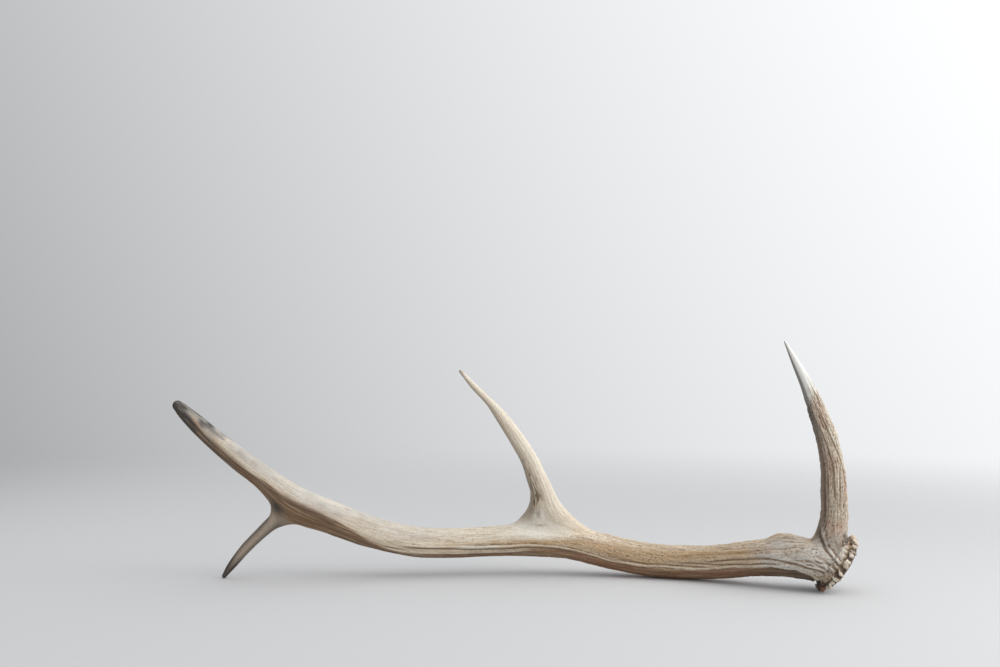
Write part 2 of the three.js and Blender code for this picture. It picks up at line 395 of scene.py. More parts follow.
def evened(points, quads, mask, rounds):
    # each masked point moves halfway to the mean of its neighbours, so many rounds
    near = mask[quads].any(axis=1)
    q = quads[near]
    a = q.reshape(-1)
    b = np.roll(q, 1, axis=1).reshape(-1)
    count = np.bincount(a, minlength=len(points)) + np.bincount(b, minlength=len(points))
    for _ in range(rounds):
        for k in range(points.shape[1]):
            mean = np.bincount(a, points[b, k], len(points)) + np.bincount(b, points[a, k], len(points))
            mean = mean / np.maximum(count, 1)
            points[:, k] = np.where(mask, (points[:, k] + mean) / 2, points[:, k])
    return points


noiseStart, noiseLength = -60, 900      # mm along a branch


def cellsOf(along, around, lanes, length):
    # how many cells there are, places counted in cells and the cell that each is in, with so many
    # lanes round the branch and a row every so many mm along it
    s, a = (along - noiseStart) / length, around / fullTurn * lanes
    return (int(noiseLength / length) + 4, lanes), s, a, np.floor(s).astype(int), np.floor(a).astype(int)


def grain(along, around, lanes, length, seed):
    # smooth noise from -1 to 1: a random number in each cell, read between with s-shaped weights,
    # so the last lane joins the first
    cells, s, a, i, j = cellsOf(along, around, lanes, length)
    table = np.random.default_rng(seed).uniform(-1, 1, cells)
    u, v = s - i, a - j
    u, v = u * u * (3 - 2 * u), v * v * (3 - 2 * v)
    near = table[i, j % lanes] * (1 - v) + table[i, (j + 1) % lanes] * v
    far = table[i + 1, j % lanes] * (1 - v) + table[i + 1, (j + 1) % lanes] * v
    return near * (1 - u) + far * u


def pebbles(along, around, lanes, length, seed):
    # one round bump in each cell of a jittered grid: a parabola of the distance to its middle
    random = np.random.default_rng(seed)
    cells, s, a, i, j = cellsOf(along, around, lanes, length)
    shiftAlong, shiftRound = random.uniform(0.15, 0.85, (2, *cells))
    size = random.uniform(0.55, 1, cells)
    best = np.zeros(len(s))
    for row in (i - 1, i, i + 1):
        for lane in (j - 1, j, j + 1):
            cell = row, lane % lanes
            gap = np.hypot(row + shiftAlong[cell] - s, lane + shiftRound[cell] - a)
            best = np.maximum(best, size[cell] * (1 - (gap / 0.6) ** 2))
    return best


def pathAt(path, s):
    # an angle in degrees read off a list of lengths and angles
    lengths, angles = np.array(path, float).T
    return np.interp(s, lengths, angles)


def strand(s, a, path, width, girth=17):
    # a ridge or a groove along the branch: a bell across its path, fading out at both ends
    off = turnFrom(a, np.radians(pathAt(path, s))) * girth + 0.4 * np.sin(s / 19) + 0.2 * np.sin(s / 6.3)
    ends = smooth(path[0][0] - 5, path[0][0] + 4, s) * smooth(path[-1][0] + 10, path[-1][0] - 14, s)
    return bell(off, 0, width) * ends


def planGap(points, path):
    # distance in the front view to a bent line: the least over its straight spans
    x, z = points[:, 0], points[:, 2]
    gap = np.full(len(x), 1e9)
    for (ax, az), (bx, bz) in zip(path[:-1], path[1:]):
        ux, uz = bx - ax, bz - az
        t = np.clip(((x - ax) * ux + (z - az) * uz) / (ux * ux + uz * uz), 0, 1)
        gap = np.minimum(gap, np.hypot(x - ax - t * ux, z - az - t * uz))
    return gap


# lengths along the beam in mm and degrees round it: 0 faces front, 90 is the top, -90 underneath
beamLines = {
    # the long pale ridge from the burr's foot along the edge of the brown underside
    "edge": [[3, -74], [10, -57], [22, -39], [34, -29], [44, -23], [61, -16], [79, -16], [112, -11],
        [132, -10], [150, -13], [168, -11], [191, -11], [214, -17], [240, -21], [260, -18], [280, -13],
        [303, -13], [329, -10], [362, -11], [389, -11], [422, -7], [480, -8]],
    # pale and dark lines above it, from the foot along the lower beam
    "second": [[8, -21], [16, -16], [28, -14], [35, -9], [46, 1], [56, 6], [72, 14], [87, 20],
        [103, 23], [125, 22]],
    "first dark": [[6, -29], [16, -23], [26, -20], [35, -15], [46, -5], [54, 1], [73, 6], [97, 10],
        [121, 14], [140, 12]],
    "third": [[14, -38], [26, -29], [34, -22], [45, -14], [64, -7], [93, 0], [121, 4], [150, 0]],
    "second dark": [[60, -11], [79, -10], [94, -7], [117, -2], [136, 5], [157, 8], [175, 6]],
    "third dark": [[140, -6], [166, -3], [189, -4], [214, -9], [235, -14]],
    "foot dark": [[5, -25], [13, -16], [24, -7], [32, 0]],
    "jagged": [[9, -17], [17, -2], [20, 2], [26, 7], [34, 14]],
    "beside jagged": [[6, -11], [13, -2], [19, 8], [24, 16]],
    # beneath the trez fork: a grey line above the ridge, painted shade along a shallow groove, and a brown
    # one under it
    "grey line": [[214, -11], [240, -14], [263, -12], [280, -7], [296, -6], [319, -3], [345, -4],
        [386, -3], [420, 0]],
    "brown line": [[290, -22], [302, -22], [329, -18], [362, -22], [400, -22], [441, -15], [480, -15]],
    "lower edge": [[330, -50], [340, -46], [355, -38], [422, -38], [461, -36], [500, -31]],
    # grooves: along the ochre band, and thin along the top
    "ochre": [[38, 42], [55, 35], [75, 33], [89, 31], [107, 35], [131, 40], [151, 36], [168, 30]],
    "tan band": [[30, 56], [38, 38], [46, 25], [64, 33], [80, 33]],
    "grey band": [[34, 90], [39, 80], [48, 65], [62, 55]],
    "top": [[165, 56], [185, 62], [216, 70], [262, 76]],
    "last dark": [[325, -46], [355, -45], [395, -45], [450, -42], [480, -38]],
    "dark stripe": [[560, -9], [585, -4], [620, -4], [645, -14], [672, -14], [700, -14], [745, -8]],
    # where the brown underside begins, and where the cream top begins
    "brown": [[0, -80], [5, -72], [10, -63], [22, -45], [34, -35], [44, -29], [61, -22], [79, -22],
        [112, -16], [132, -15], [150, -18], [171, -18], [206, -20], [240, -24], [269, -20], [294, -15],
        [317, -14], [340, -24], [360, -40], [422, -40], [461, -36], [486, -31], [506, -28], [537, -11],
        [562, 1], [585, 10], [601, 14], [620, 12], [632, 4], [648, -3], [672, -7], [700, -8], [724, -2],
        [745, -1], [780, -5]],
    "cream": [[0, 80], [30, 66], [60, 44], [90, 38], [150, 46], [178, 50], [212, 40], [250, 34],
        [288, 26], [310, 14], [340, 9], [380, 5], [430, -4], [480, -16], [540, -2], [585, 18],
        [620, 22], [672, 8], [740, 6], [780, 10]],
    # middle of the pearled band and its half width
    "pearls": [[40, 26], [82, 32], [105, 33], [150, 37], [178, 27], [212, 16], [250, 12], [288, 15],
        [320, 14]],
    "pearls half": [[40, 24], [60, 15], [82, 9], [150, 13], [178, 19], [212, 19], [250, 15], [288, 8],
        [320, 3]],
}

# name, half width in mm, height in mm, and how much it is painted: paler above 0, darker below
paintedLines = (
    ("edge", 1.1, 0.9, 0.6), ("second", 0.9, 0.5, 0.35), ("third", 1.2, 0.5, 0.3),
    ("jagged", 1.0, 0.6, 0.75), ("lower edge", 1.0, 0.5, 0.5), ("first dark", 0.8, -0.6, -0.9),
    ("second dark", 0.7, -0.5, -0.9), ("third dark", 0.7, -0.5, -0.9), ("foot dark", 0.6, -0.5, -0.6),
    ("beside jagged", 0.8, -0.5, -0.9), ("grey line", 0.6, -0.4, -0.35), ("brown line", 1.0, -0.6, -0.9),
    ("last dark", 0.6, -0.5, -0.6), ("ochre", 1.0, -0.6, -0.4), ("top", 0.7, -0.5, -0.3),
    ("dark stripe", 1.2, -0.4, -0.2),
)


def degreesOf(a):
    # an angle in degrees, from minus to plus 180
    return np.degrees(turnFrom(a, 0))


def pearled(s, a):
    # 1 inside the pearled band, and in a looser patch on the back, 0 outside
    off = abs(degreesOf(a) - pathAt(beamLines["pearls"], s)) / pathAt(beamLines["pearls half"], s)
    front = smooth(1.5, 0.8, off) * smooth(14, 30, s) * smooth(325, 298, s)
    back = bell(turnFrom(a, 2.9), 0, 0.55) * smooth(60, 110, s) * smooth(330, 250, s)
    return np.maximum(front, 0.7 * back)


def beadRise(s, a, rim, shape):
    # angular blocks round the rim, and smaller knobs behind them: each is one minus its powered
    # distances along and across, cut off flat, on a top that leans one way
    random = np.random.default_rng(4)
    rise = np.zeros(len(s))
    for k in range(2 * shape["beads"]):
        turn = (k + random.uniform(-0.4, 0.4)) / shape["beads"] * fullTurn
        small = k >= shape["beads"]
        wide, deep = random.uniform([0.9, 1.7], [2.4, 3.3]) * (0.6 if small else 1)
        high = shape["beadHeight"] * random.uniform(0.45, 1.1) * (0.3 if small else 1)
        middle = rim + (3.9 if small else -0.3) + random.uniform(-1.3, 1.1)
        skew, lean, slope, power = random.uniform([-0.2, -0.5, -0.35, 2.5], [0.9, 0.5, 0.35, 6])
        across = turnFrom(a, turn) * 30
        ahead = s - middle - skew * across
        body = np.clip(1 - abs(across / wide) ** power - abs(ahead / deep) ** power, 0, 1)
        top = 1 + lean * across / wide + slope * ahead / deep
        rise = np.maximum(rise, high * top * np.minimum(1, 2.2 * body))
    crown = 4.6 * bell(degreesOf(a), 92, 5.5) * bell(s, rim + 1, 3.4)
    return np.maximum(rise, crown)


def grooves(s, a, lanes, length, seed, width=0.3):
    # narrow lines where smooth noise passes through zero: long along the branch, many round it
    return bell(grain(s, a, lanes, length, seed), 0, width)


def holesAt(s, a):
    # 1 in the dark holes between the burr's beads and the beam, by smooth noise round the rim
    return smooth(-0.2, 0.4, grain(s, a, 40, 4, 9))


def beamRelief(s, a, rim):
    # ridges and grooves that run along the beam, pearls in a band, beads and crevices at the burr
    calm = (1 - 0.93 * bell(s, 330, 44) * smooth(0, 0.4, np.sin(a))) * (1 - 0.45 * smooth(640, 740, s))
    strength = calm * (0.55 + 0.45 * smooth(440, 300, s))
    noise, bumps, lines = partial(grain, s, a), partial(pebbles, s, a), partial(grooves, s, a)
    broken = smooth(-0.3, 0.3, noise(12, 24, 13))
    lower = 1 - 0.6 * smooth(300, 420, s)
    high = strength * (0.3 * noise(18, 80, 1) + 0.34 * noise(44, 40, 2) + 0.34 * noise(88, 9, 3)
                       + 0.24 * lower * noise(90, 3, 15) - 0.45 * broken * lines(40, 190, 5)
                       - 0.4 * (1 - 0.6 * broken) * lines(60, 120, 7))
    high = high - 0.45 * smooth(70, 30, s) * lines(44, 170, 17)
    for name, width, tall, _ in paintedLines:
        high = high + tall * strand(s, a, beamLines[name], width)
    band = pearled(s, a)
    loose = 0.3 + 0.7 * smooth(-0.5, 0.4, noise(14, 17, 14))
    pearls = 0.6 * bumps(40, 2.9, 6) + 0.4 * bumps(54, 2.3, 16) - 0.45
    high = high * (1 - 0.3 * band) + band * loose * 0.8 * pearls
    burr = smooth(rim + 5, rim + 3.6, s)
    crevice = bell(s, rim + 4.2, 1.5) * (0.2 + 1.4 * holesAt(s, a))
    seal = smooth(rim - 6, rim - 10, s)
    pitted = seal * (0.9 * bumps(22, 3, 11) - 0.5 + 0.5 * noise(9, 5, 12))
    rugged = 0.45 * noise(84, 2, 10) + 0.35 * noise(40, 3, 18)
    beads = (1 - seal) * (beadRise(s, a, rim, burrShape) + smooth(rim + 7, rim + 4, s) * rugged)
    knob = 2.6 * bell(s, rim + 4.5, 4.2) * bell(degreesOf(a), -95, 9)
    resting = 1 - 0.75 * bell(s, beamShape["restsAt"], 40) * smooth(-0.5, -0.9, np.sin(a))
    return high * resting * (1 - burr) + beads + burr * pitted - 1.1 * crevice + knob


# grooves on the brow tine: lengths along it and degrees round it, depth, half width, and how
# thick the tine is taken to be there
browGrooves = (
    ([[80, 50], [104, 39], [125, 19], [140, 8], [155, 2], [166, -3]], 0.7, 0.7, 12),
    ([[70, -12], [102, -13], [127, -22], [149, -35], [160, -48]], 0.7, 0.7, 12),
    ([[45, -60], [67, -58], [87, -66], [118, -62]], 0.6, 0.8, 13),
    ([[58, 6], [78, 15], [100, 22]], 0.5, 0.7, 13),
)


def tineRelief(kind, s, a, toTip):
    # grooves and pits along the tines: deep on the brow tine up to its polished end, fine on others
    rough = smooth(36, 70, toTip + 12 * np.sin(a))
    noise, bumps, lines = partial(grain, s, a), partial(pebbles, s, a), partial(grooves, s, a)
    pits = bumps(30, 3.1, 27) + 0.7 * noise(60, 3, 28) - 0.4
    wormy = bell(toTip, 88, 34)      # short crossing wrinkles below the polished end
    brow = (0.26 * noise(14, 70, 21) + 0.28 * noise(34, 26, 22) + (0.26 + 0.3 * wormy) * noise(60, 7, 23)
            + 0.36 * pits - 0.6 * lines(30, 120, 24) - 0.55 * lines(46, 60, 26)
            + 1.1 * bell(s, 133, 5) * bell(turnFrom(a, 0.9), 0, 0.4)
            + 0.8 * strand(s, a, [[40, -42], [60, -44], [105, -50], [140, -46]], 1.0, 13))
    for path, deep, width, girth in browGrooves:
        brow = brow - deep * strand(s, a, path, width, girth)
    fine = smooth(20, 60, toTip)
    dimples = bumps(26, 3.4, 34) - 0.3
    trez = fine * (0.14 * noise(12, 50, 31) + 0.22 * noise(40, 14, 32) + 0.2 * dimples
                   - 0.4 * lines(34, 60, 33) * (1 - 0.5 * smooth(70, 130, s)))
    back = smooth(4, 30, toTip) * 0.14 * (noise(10, 40, 41) + noise(30, 12, 42))
    return np.select([kind == 1, kind == 2, kind == 3], [rough * brow, trez, back], 0)


# x and z in the front view, height and half width of the ridges that run from the brow tine and
# along the beam's foot down to the burr
footRidges = (
    ([[330.9, 78], [331.1, 69.8], [332, 61.4], [333.5, 54.1], [336, 46.8], [339.9, 41.9], [345.3, 33.1]],
     1.5, 1.2),
    ([[327.2, 80], [327.7, 68], [329.2, 58], [332.8, 52], [335.8, 46]], -0.9, 2.0),
    ([[337.5, 70], [339.4, 57.5], [342.3, 51.7], [346.3, 44.8], [350.1, 38]], 0.25, 0.7),
    ([[342, 72], [343.7, 60.5], [346.2, 51.7], [350.2, 43.8], [352.5, 37]], 0.3, 0.7),
    ([[323.2, 37], [327.6, 33.6], [331.1, 34], [335.5, 30.1], [341.3, 22.4]], 0.6, 0.8),
    ([[312, 32.6], [319.8, 30.7], [324.7, 28.2], [331.1, 24.3], [336.9, 19.9]], 0.4, 0.75),
    ([[314, 27.5], [320, 25.6], [327, 21.8], [334, 17]], 0.3, 0.8),
)

points, facts, quads, owner, cuts, poles, beam = buildSkin()
kind, along, around, weight = facts.T
points = evened(points, quads, (kind > 0) & (weight < 1), 12)
normals = skinNormals(points, quads)
print("skin built:", len(points), "points,", len(quads), "quads")

# the beam's own lengths and angles for the webs, and how far each point is from its tine's tip
rim = beam["rim"]
lengths = [splineLength(shape["stations"], 3)[1][-1] for _, _, shape, _ in tines]
toTip = np.choose(kind.astype(int), [beam["along"][-1]] + lengths) - along
order = np.argsort(-beam["centre"][:, 0])
nearest = np.interp(-points[:, 0], -beam["centre"][order, 0], order.astype(float)).round().astype(int)
offset = points - beam["centre"][nearest]
slide = (offset * beam["tangent"][nearest]).sum(-1)
beamAlong = np.where(kind == 0, along, beam["along"][nearest] + slide)
beamTurn = np.arctan2((offset * beam["up"][nearest]).sum(-1) / beam["across"][nearest],
                      (offset * beam["front"][nearest]).sum(-1) / beam["depth"][nearest]) % fullTurn
beamAround = np.where(kind == 0, around, beamTurn)
share = np.where(kind == 0, 0, smooth(0.1, 0.75, weight))     # 0 on the beam, 1 on a tine

height = (1 - share) * beamRelief(beamAlong, beamAround, rim)
height = height + share * tineRelief(kind, along, around, toTip)
facing = smooth(0.1, 0.6, -normals[:, 1]) * smooth(rim + 2.5, rim + 4.5, beamAlong)
for path, tall, wide in footRidges:
    gap = planGap(points, path)
    height = height + facing * tall * (bell(gap, 0, wide) - 0.45 * bell(gap, 2.3 * wide, wide))
evenHeight = evened(height[:, None].copy(), quads, np.ones(len(height), bool), 8)[:, 0]
sunk = evenHeight - height      # how far each point lies below the mean of those near it
points = points + height[:, None] * normals
points[:, 2] = np.maximum(points[:, 2], 0)    # worn flat where it rests
smoothNormals, normals = normals, skinNormals(points, quads)
print("ridges, pearls and beads raised")


def putInScene(name, data):
    # a new object with this data, linked into the scene
    thing = bpy.data.objects.new(name, data)
    bpy.context.scene.collection.objects.link(thing)
    return thing


def makePiece(name, values, fibre):
    # the faces that this piece owns, with a fan of triangles over each cut and each pole
    own = quads[owner == name]
    fans = [(ring if name == a else ring[::-1], True) for a, b, ring in cuts if name in (a, b)]
    fans += [(ring, False) for who, ring in poles if who == name]
    used = np.unique(own)
    index = np.full(len(points), -1)
    index[used] = np.arange(len(used))

    def ownPart(whole):
        # what belongs to the piece's points, then the mean round each ring
        return np.concatenate([whole[used], [whole[ring].mean(0) for ring, _ in fans]])

    place = ownPart(points)
    isCap = np.concatenate([np.full(len(ring), cap) for ring, cap in fans])
    fan = [np.stack([index[ring], index[np.roll(ring, -1)], np.full(len(ring), len(used) + k)], axis=-1)
           for k, (ring, _) in enumerate(fans)]
    fan = np.concatenate(fan)
    mesh = bpy.data.meshes.new(name + "_skin")
    mesh.from_pydata(((place - boxMiddle) / 1000).tolist(), [], index[own].tolist() + fan.tolist())
    mesh.polygons.foreach_set("use_smooth", np.ones(len(own) + len(fan), bool))
    shade = unit(ownPart(normals))[np.concatenate([index[own].ravel(), fan.ravel()])]
    square = unit(np.cross(place[fan[:, 1]] - place[fan[:, 0]], place[fan[:, 2]] - place[fan[:, 0]]))
    shade[own.size:][np.repeat(isCap, 3)] = np.repeat(square[isCap], 3, axis=0)
    mesh.normals_split_custom_set(shade.tolist())
    for key, value in values.items():
        layer = mesh.attributes.new(key, "FLOAT", "POINT")
        layer.data.foreach_set("value", ownPart(value).astype(np.float32))
    layer = mesh.attributes.new("fibre", "FLOAT_VECTOR", "POINT")
    layer.data.foreach_set("vector", ownPart(fibre).astype(np.float32).ravel())
    piece = putInScene(name + "_skin", mesh)
    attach(piece, "root")
    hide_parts(name)
    return piece


def stainsAndShade():
    # soft masks from 0 to 1 that the finish mixes inks by: bells and smooth steps of the lengths,
    # times the same of the angles, broken up by smooth noise, then added or the largest taken
    # among them painted shade and painted light, each said where it is made
    s, a = beamAlong, beamAround
    deg, turn = degreesOf(a), turnFrom(around, 0)
    onBeam = 1 - share
    isBeam, isBrow, isTrez, isBack = [kind == k for k in range(4)]
    brow, trez, back = share * isBrow, share * isTrez, share * isBack

    def spot(length, half, degrees, halfDegrees):
        # a round patch on the beam: a bell along it times a bell round it
        return onBeam * bell(s, length, half) * bell(deg, degrees, halfDegrees)

    def stripe(path, width, girth=17):
        return onBeam * strand(s, a, path, width, girth)

    patchy = smooth(-0.6, 0.5, grain(s, a, 10, 30, 53))
    cloudy = grain(s, a, 16, 9, 54)
    cloudyTine = grain(along, around, 18, 7, 57)
    neck = smooth(rim + 4.6, rim + 3.4, s)
    foot = smooth(3, 6, s) * smooth(96, 62, s + 9 * cloudy)

    # the brown underside, up to its ragged edge, its ink darker than the stain alone as painted shade, and
    # the cream top
    ragged = 6 * grain(s, a, 44, 60, 51) + 4 * grain(s, a, 80, 22, 52)
    ragged *= 0.3 + 0.3 * smooth(60, 200, s) + 1.2 * smooth(420, 520, s)
    soft = 0.45 + 0.45 * smooth(230, 330, s)
    under = smooth(-5 * soft, 9 * soft, pathAt(beamLines["brown"], s) - deg + ragged)
    under *= smooth(-176, -140, deg)
    thin = smooth(0, 0.7, grain(s, a, 64, 36, 58)) * (1 - 0.5 * smooth(420, 500, s))
    brown = under * onBeam * (1 - neck) * (1 - 0.4 * thin)
    creamEdge = pathAt(beamLines["cream"], s)
    top = smooth(-10, 22, deg - creamEdge + 1.5 * ragged) * smooth(165, 120, deg)
    cream = np.maximum(top * smooth(30, 60, s), 0.55 * smooth(300, 420, s) * (1 - under))
    cream *= onBeam * (1 - neck) * (1 - 0.35 * smooth(700, 740, s)) * (0.35 + 0.6 * smooth(200, 330, s))
    # the trez and brow tines paler towards the side that faces the light, as painted light
    cream += trez * (0.6 + 0.35 * np.sin(around)) + 0.1 * back
    cream += brow * (0.6 + 0.3 * np.sin(around) + 0.45 * smooth(110, 60, toTip))

    # pale webs, ridges and lines, and the dark lines
    ridgeTop = onBeam * smooth(400, 500, s) * smooth(730, 690, s) * smooth(-5, 40, deg)
    pale = np.max([
        onBeam * bell(s, 335, 26) * smooth(5, 35, deg) * smooth(165, 130, deg),
        0.9 * isTrez * bell(along, 31, 12) * bell(turn, -0.45, 0.6),
        0.35 * ridgeTop * smooth(150, 120, deg) * smooth(-0.5, 0.5, cloudy),
        0.3 * trez + 0.2 * brow,
        0.35 * onBeam * foot * (1 - under) * smooth(-0.4, 0.5, cloudy),
        0.7 * facingFront * bell(planGap(points, footRidges[0][0]), 0, 1.2) * (s > rim + 3),
        0.9 * stripe([[375, -11], [400, -11], [425, -7]], 2)], axis=0)
    lines = np.zeros(len(s))
    for name, width, _, paint in paintedLines:
        line = stripe(beamLines[name], 1.1 * width)
        pale = np.maximum(pale, paint * line * (0.7 + 0.3 * cloudy))
        lines = np.maximum(lines, -paint * line)
    browLines = [strand(along, around, path, 1, 12) for path, *_ in browGrooves]
    lines = np.maximum(lines, 0.8 * brow * np.max(browLines, axis=0))
    fleck = grooves(along, around, 48, 9, 58, 0.32) * smooth(-0.5, 0.4, cloudyTine)
    fleck *= bell(turn, -0.6, 0.5) * bell(along, 66, 36)
    fleck = np.maximum(fleck, 0.45 * bell(along, 15.5, 1.5) * bell(turn, -0.42, 0.16))
    lines = np.maximum(lines, isTrez * np.minimum(0.85, 1.3 * fleck))

    # the grey foot and tip, with an amber patch on the tip and a rusty one on the brow's root
    amberAt = 748
    amber = spot(amberAt, 9, 20 + 1.4 * (s - amberAt) - 4 * cloudy, 15)
    rusty = isBrow * bell(along, 34, 9) * bell(turn, 0.05, 0.7) * (0.8 + 0.5 * cloudy)
    tipTop = smooth(-14, 30, deg + 12 * cloudy) * smooth(712, 732, s + 7 * cloudy + 0.15 * deg)
    grey = onBeam * foot * (1 - under) * np.minimum(1, 1.7 * bell(deg + 5 * cloudy, 8, 44))
    grey *= 1 - 0.5 * strand(s, a, beamLines["tan band"], 3)
    grey += 0.5 * stripe(beamLines["grey band"], 3)
    # the upper beam's top greyed: a greyer tone, and dimmed there as painted shade
    grey = np.maximum(grey, 0.85 * ridgeTop * (0.4 + 0.6 * patchy))
    grey = np.maximum(grey, onBeam * np.maximum(tipTop, smooth(amberAt, 758, s))) + 0.35 * back
    grey += 0.5 * onBeam * bell(s, 720, 11) * smooth(-0.4, 0.8, cloudy) * smooth(0, 20, deg)
    grey += 0.55 * isBrow * bell(weight, 0.3, 0.35) * facingFront + 0.2 * brow
    grey *= (1 - 0.9 * amber) * (1 - 0.8 * np.clip(rusty, 0, 1))

    # red in the brown, on the knob below the burr and in the worn patches
    knob = np.minimum(1, 2.2 * spot(rim, 6, -80, 14))
    pinkish = smooth(-0.2, 0.5, grain(s, a, 34, 42, 59))
    red = onBeam * under * (0.6 * bell(s, 255, 55) + 0.5 * bell(s, 120, 60)) + 0.7 * spot(66, 9, 38, 12)
    red += 0.6 * onBeam * ridgeTop * bell(deg, 22, 30 + 25 * smooth(600, 680, s)) * pinkish
    red += 0.8 * brow * smooth(-0.2, 0.5, grain(along, around, 6, 24, 55)) * smooth(55, 80, toTip)
    red = np.maximum(red, knob) + 1.4 * rusty + 0.8 * amber

    # dark tips; painted shade on undersides, on the tines' sides away from the light and at the burr, and a
    # painted shadow under the burr
    # the top tine's end: dark grey, with painted shade along its lower side and under the upper beam near it
    dark = (0.74 + 0.2 * cloudy) * smooth(733, 748, s + 5 * cloudy) * smooth(34, -14, deg + 9 * cloudy)
    dark += 0.75 * smooth(640, 740, s) * smooth(-25, -55, deg)
    dark += (0.42 + 0.15 * cloudy) * smooth(730, 762, s + 6 * cloudy + 0.25 * deg)
    dark += 0.42 * tipTop * smooth(-1.9, 0.6, cloudy) + 0.12 * smooth(610, 680, s) * smooth(-5, 35, deg)
    # the upper beam's top darkened a little as painted shade
    dark = (onBeam * dark + 0.12 * ridgeTop) * (1 - 0.9 * amber)
    dark += 0.6 * stripe([[712, -24], [729, -16], [741, -2], [748, 5]], 1.8)
    dark += 0.35 * stripe(beamLines["dark stripe"], 2.6, 11) + 0.6 * spot(619, 9, -64, 18)
    # painted shadow beneath the knob below the burr, and painted shade beside it
    dark += spot(rim + 5, 3, -103, 9) + 0.6 * spot(rim + 7, 4, -66, 16)
    # painted shade deepening the brown underside near the burr
    dark += 0.7 * onBeam * under * bell(s, 16, 60)
    # painted shade along the groove at the brow tine's foot
    hollow = planGap(points, footRidges[1][0][:-1] + [[335.3, 46.7]])
    dark += 0.55 * facingFront * bell(hollow, 0, 3.2) * (0.7 + 0.5 * cloudy) * (s > rim + 4)
    # painted shade down the left sides of the brow and trez tines, the sides away from the light
    paintedShadeLeft = smooth(-0.45, -0.95, turn) * smooth(-2.8, -2.0, turn)
    dark += brow * paintedShadeLeft * (0.75 - 0.25 * smooth(70, 150, toTip))
    # the back tine: painted shade towards both its edges, and a dark tip
    dark += back * (0.3 + 0.45 * smooth(0.1, 0.9, abs(np.sin(around))) + 0.6 * smooth(36, 5, toTip))
    dark += 0.5 * isBack * bell(along, 8, 10) * bell(turn, 0, 0.7)
    dark += trez * (0.3 * smooth(6, 2, toTip) + 0.4 * paintedShadeLeft * (1 - 0.5 * smooth(90, 130, along)))

    # the polished end of the brow tine, the burr's beads, and painted shade in the crevices and holes
    # between them and the beam
    ivoryFrom = toTip + 11 * np.sin(around) + 8 * grain(along, around, 14, 4, 56)
    ivory = brow * smooth(71, 45, ivoryFrom)
    crevice = np.maximum(neck * smooth(0.8, 0, height), bell(s, rim + 4.4, 1.5) * holesAt(s, a))
    bead = neck * smooth(0.2, 1.1, height) * onBeam * (0.68 + 0.5 * cloudy) * (1 - knob)
    bead *= 1 - 0.8 * bell(deg, 92, 11)

    ochre = onBeam * pearled(s, a) * (0.2 + 0.45 * smooth(60, 90, s)) * (0.4 + 0.6 * patchy)
    ochre += 0.7 * spot(350, 75, creamEdge - 6, 7) + 0.8 * stripe(beamLines["ochre"], 2)
    ochre += 1.2 * amber + 0.7 * spot(728, 14, 10, 9)
    webTop = isTrez * bell(weight, 0.3, 0.3) * smooth(0.2, 0.9, np.sin(around))
    ochre = np.maximum(ochre, 0.4 * webTop * smooth(-0.3, 0.4, cloudyTine))
    ochre += 0.5 * trez * bell(turn, -0.8, 0.5) * patchy
    ochre += 0.3 * isTrez * bell(turn, 0.95, 0.4) * bell(along, 26, 14)
    ochre += 1.1 * spot(345, 95, 3, 8) * smooth(-0.4, 0.3, cloudy)

    sandy = 1 - (smooth(260, 420, s) + 0.5 * foot) * isBeam - 0.6 * isTrez
    masks = {"lines": lines * (1 - neck), "sandy": sandy, "under": np.maximum(brown, 0.8 * knob),
             "cream": cream, "pale": pale, "grey": grey, "red": red, "dark": dark, "ivory": ivory,
             "crevice": 0.92 * onBeam * crevice, "bead": bead, "ochre": ochre}
    masks = {key: np.clip(value, 0, 1) for key, value in masks.items()}
    masks["speckled"] = 1 + 0.4 * foot * isBeam
    # painted shade in the pits, by how far a point lies below those near it, and a painted highlight on what
    # stands above them
    masks["pit"] = smooth(0.02, 0.36, sunk) * (1 - 0.75 * masks["ivory"])
    masks["ridge"] = smooth(0.04, 0.5, -sunk) * (1 - masks["dark"])
    masks["veined"] = np.select([isBeam, isBrow], [1 - 0.4 * smooth(430, 600, along), 1.35], 0.65)
    masks["veined"] *= (1 - masks["ivory"]) * (1 - 0.6 * masks["pale"])
    return masks


def ink(red, green, blue):
    # a colour as it is seen, 0 to 255, turned into the renderer's linear numbers
    seen = np.array([red, green, blue]) / 255
    return (*(((seen + 0.055) / 1.055) ** 2.4).tolist(), 1)


def addNode(tree, kind, inputs=(), **settings):
    # a node with its settings; an input is a value, or another node's output to link
    node = tree.nodes.new(kind)
    for key, value in settings.items():
        setattr(node, key, value)
    for key, value in dict(inputs).items():
        if isinstance(value, bpy.types.NodeSocket):
            tree.links.new(value, node.inputs[key])
        else:
            node.inputs[key].default_value = value
    return node


def mask(tree, name):
    # one of the stains, read off the mesh
    return addNode(tree, "ShaderNodeAttribute", attribute_name=name).outputs["Fac"]


def sums(tree, operation, a, b, clamp=False):
    # one sum of two numbers or outputs
    return addNode(tree, "ShaderNodeMath", {0: a, 1: b}, operation=operation, use_clamp=clamp).outputs[0]


def mixInk(tree, amount, under, over, blend="MIX"):
    # one colour over another by an amount
    node = addNode(tree, "ShaderNodeMix", {0: amount, 6: under, 7: over}, data_type="RGBA", blend_type=blend)
    return node.outputs[2]


def stretched(tree, across, along, detail=4.0, seed=0.0):
    # noise on the branch's own coordinates, so many mm long and wide
    fibre = addNode(tree, "ShaderNodeAttribute", attribute_name="fibre").outputs["Vector"]
    spot = addNode(tree, "ShaderNodeMapping", {"Vector": fibre, "Location": (seed, seed, seed),
                                               "Scale": (1 / along, 1 / across, 1 / across)})
    noise = addNode(tree, "ShaderNodeTexNoise", {"Vector": spot.outputs[0], "Scale": 1.0, "Detail": detail,
                                                 "Roughness": 0.62})
    return noise.outputs["Fac"]


